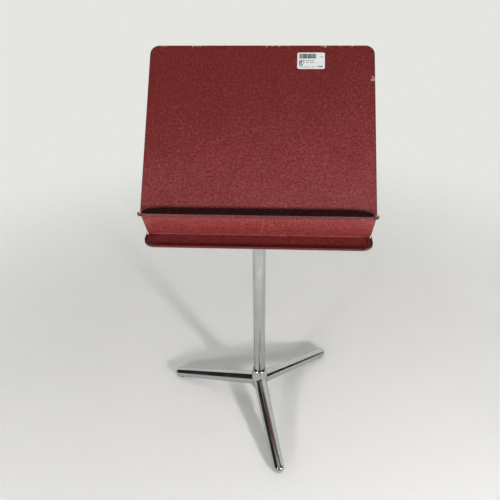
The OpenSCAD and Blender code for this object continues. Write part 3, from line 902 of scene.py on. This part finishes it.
def leg(name):
    pad = Vector(MOUNTS["floor_" + name]["pos_m"])
    out = Vector((pad.x - POST.x, pad.y - POST.y))
    run = out.length + PAD_BACK
    slope = atan2(LEG_AXIS_Z - TIP_AXIS_Z, run)
    length = run / cos(slope)
    taper = (LEG_ROOT - LEG_TIP) / length
    along = [ROOT_START + (length - ROOT_START) * k / LEG_RINGS for k in range(LEG_RINGS + 1)]
    turns = [k * pi / 2 / TIP_RINGS for k in range(1, TIP_RINGS + 1)]
    cone = [(LEG_ROOT - taper * x, x) for x in along]
    ball = [(LEG_TIP * cos(a), length + LEG_TIP * sin(a)) for a in turns]
    bm = lathe([(0, ROOT_START)] + cone + ball)
    root = [vert for vert in bm.verts if vert.co.z < ROOT_START + NEAR]
    centre = [vert for vert in root if vert.co.xy.length_squared < ON_AXIS]
    bmesh.ops.delete(bm, geom=centre, context="VERTS")
    for vert in bm.verts:
        if vert.co.z < ROOT_START + NEAR:
            across, below = vert.co.y, vert.co.x
            vert.co.z = (sqrt((HUB_RADIUS + HUB_GAP) ** 2 - across ** 2) + below * sin(slope)) / cos(slope)
    bmesh.ops.holes_fill(bm, edges=[e for e in bm.edges if e.is_boundary], sides=MANY_SIDES)
    lay = Matrix.Rotation(pi / 2, 4, "Y")
    down = Matrix.Rotation(slope, 4, "Y")
    aim = Matrix.Rotation(atan2(out.y, out.x), 4, "Z")
    move(bm, Matrix.Translation(POST + Vector((0, 0, LEG_AXIS_Z))) @ aim @ down @ lay)
    everything = bm.verts[:] + bm.edges[:] + bm.faces[:]
    bmesh.ops.bisect_plane(
        bm, geom=everything, plane_co=(0, 0, SOLE_Z), plane_no=(0, 0, -1), clear_outer=True,
    )
    bmesh.ops.holes_fill(bm, edges=[e for e in bm.edges if e.is_boundary], sides=MANY_SIDES)
    make_piece(bm, "leg_" + name + "_casting", "base", "chrome_casting", CAST_CHROME, "leg_" + name)


for name in ("front", "right", "left"):
    leg(name)

# %% [markdown]
# ## Parts that keep their engineering shape
# The collar, the head, the bracket and the small hardware are already right. Each visible one is copied, its
# loose triangles are merged, flat areas are made single faces and the edges are softened, so that plated
# corners catch the light. The pieces that never show keep their own meshes and only take a finish.

# %% Softened copies
MERGE = 2e-6
SAME_PLANE = radians(0.5)


def softened(node, slot, material, width):
    source = frame["nodes"][node]
    bm = bmesh.new()
    bm.from_mesh(source.data)
    bmesh.ops.remove_doubles(bm, verts=bm.verts[:], dist=MERGE)
    bmesh.ops.dissolve_limit(
        bm, angle_limit=SAME_PLANE, verts=bm.verts[:], edges=bm.edges[:], use_dissolve_boundaries=False,
    )
    if width:
        soften(bm, width)
    bmesh.ops.triangulate(bm, faces=[face for face in bm.faces if len(face.verts) > 4])
    make_piece(bm, node + "_soft", source["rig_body"], slot, material, node, outward=False)


for node, slot, material, width in (
    ("clamp_collar", "chrome", CHROME, 0.0006),
    ("tilt_head", "chrome_casting", CAST_CHROME, 0.0005),
    ("desk_bracket", "bracket_paint", BRACKET_ENAMEL, 0.0004),
    ("tilt_bolt", "steel", ZINC, 0.0),
    ("knob_washer", "steel", ZINC, 0.0002),
    ("height_screw", "steel", ZINC, 0.0),
    ("hub_bolt", "steel", ZINC, 0.0004),
    ("hub_washer", "steel", ZINC, 0.0002),
    ("leg_screws", "steel", ZINC, 0.0),
    ("friction_washers", "fibre", FIBRE, 0.0),
    ("foot_pads", "pad_rubber", RUBBER, 0.0006),
):
    softened(node, slot, material, width)

# %% Finishes of the inner parts
INNER = {"steel": ZINC, "nylon": NYLON, "brass": BRASS, "fibre": FIBRE, "knob_plastic": PHENOLIC}
SLOT_OF = {part["node"]: part["material_slot"] for part in frame["record"]["subparts"]}
for name, node in frame["nodes"].items():
    if not node.hide_render and SLOT_OF[name] in INNER:
        node.data.materials.clear()
        node.data.materials.append(INNER[SLOT_OF[name]])
        print("finish on", name)


# %% [markdown]
# ## The clamp knobs
# A moulded knob with soft lobes. Its outline is a circle whose radius swells with the cosine of six times the
# angle. The outline is extruded, both rims are rounded and the face gets a shallow dish.

# %% Knobs
LOBES = 6
LOBE_DEPTH = 0.0022
KNOB_ACROSS = 0.028
KNOB_EDGE = 0.0022


def knob(name, node, slot_body, turn):
    low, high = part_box(node)
    centre = (low + high) / 2
    thick = min(high - low)
    bm = bmesh.new()
    ring = bmesh.ops.create_circle(bm, cap_ends=True, segments=LOBES * 16, radius=1.0)["verts"]
    for vert in ring:
        angle = atan2(vert.co.y, vert.co.x)
        radius = KNOB_ACROSS / 2 - LOBE_DEPTH * (0.5 - 0.5 * cos(LOBES * angle)) ** 0.8
        vert.co = Vector((radius * cos(angle), radius * sin(angle), -thick / 2))
    grown = bmesh.ops.extrude_face_region(bm, geom=bm.faces[:])["geom"]
    top = [item for item in grown if isinstance(item, bmesh.types.BMVert)]
    bmesh.ops.translate(bm, verts=top, vec=(0, 0, thick))
    bmesh.ops.recalc_face_normals(bm, faces=bm.faces[:])
    soften(bm, KNOB_EDGE, segments=5)
    cap = max((f for f in bm.faces if f.normal.z > 0.99), key=lambda f: f.calc_area())
    bmesh.ops.inset_region(bm, faces=[cap], thickness=0.0018)
    bmesh.ops.inset_region(bm, faces=[cap], thickness=0.0012, depth=-0.0010)
    bmesh.ops.inset_region(bm, faces=[cap], thickness=0.0010)
    move(bm, Matrix.Translation(centre) @ turn)
    make_piece(bm, name, slot_body, "knob_plastic", PHENOLIC, node)


knob("height_knob_moulding", "height_knob", "height_knob", Matrix.Rotation(-pi / 2, 4, "X"))
knob("tilt_knob_moulding", "tilt_knob", "tilt_knob", Matrix.Rotation(pi / 2, 4, "Y"))
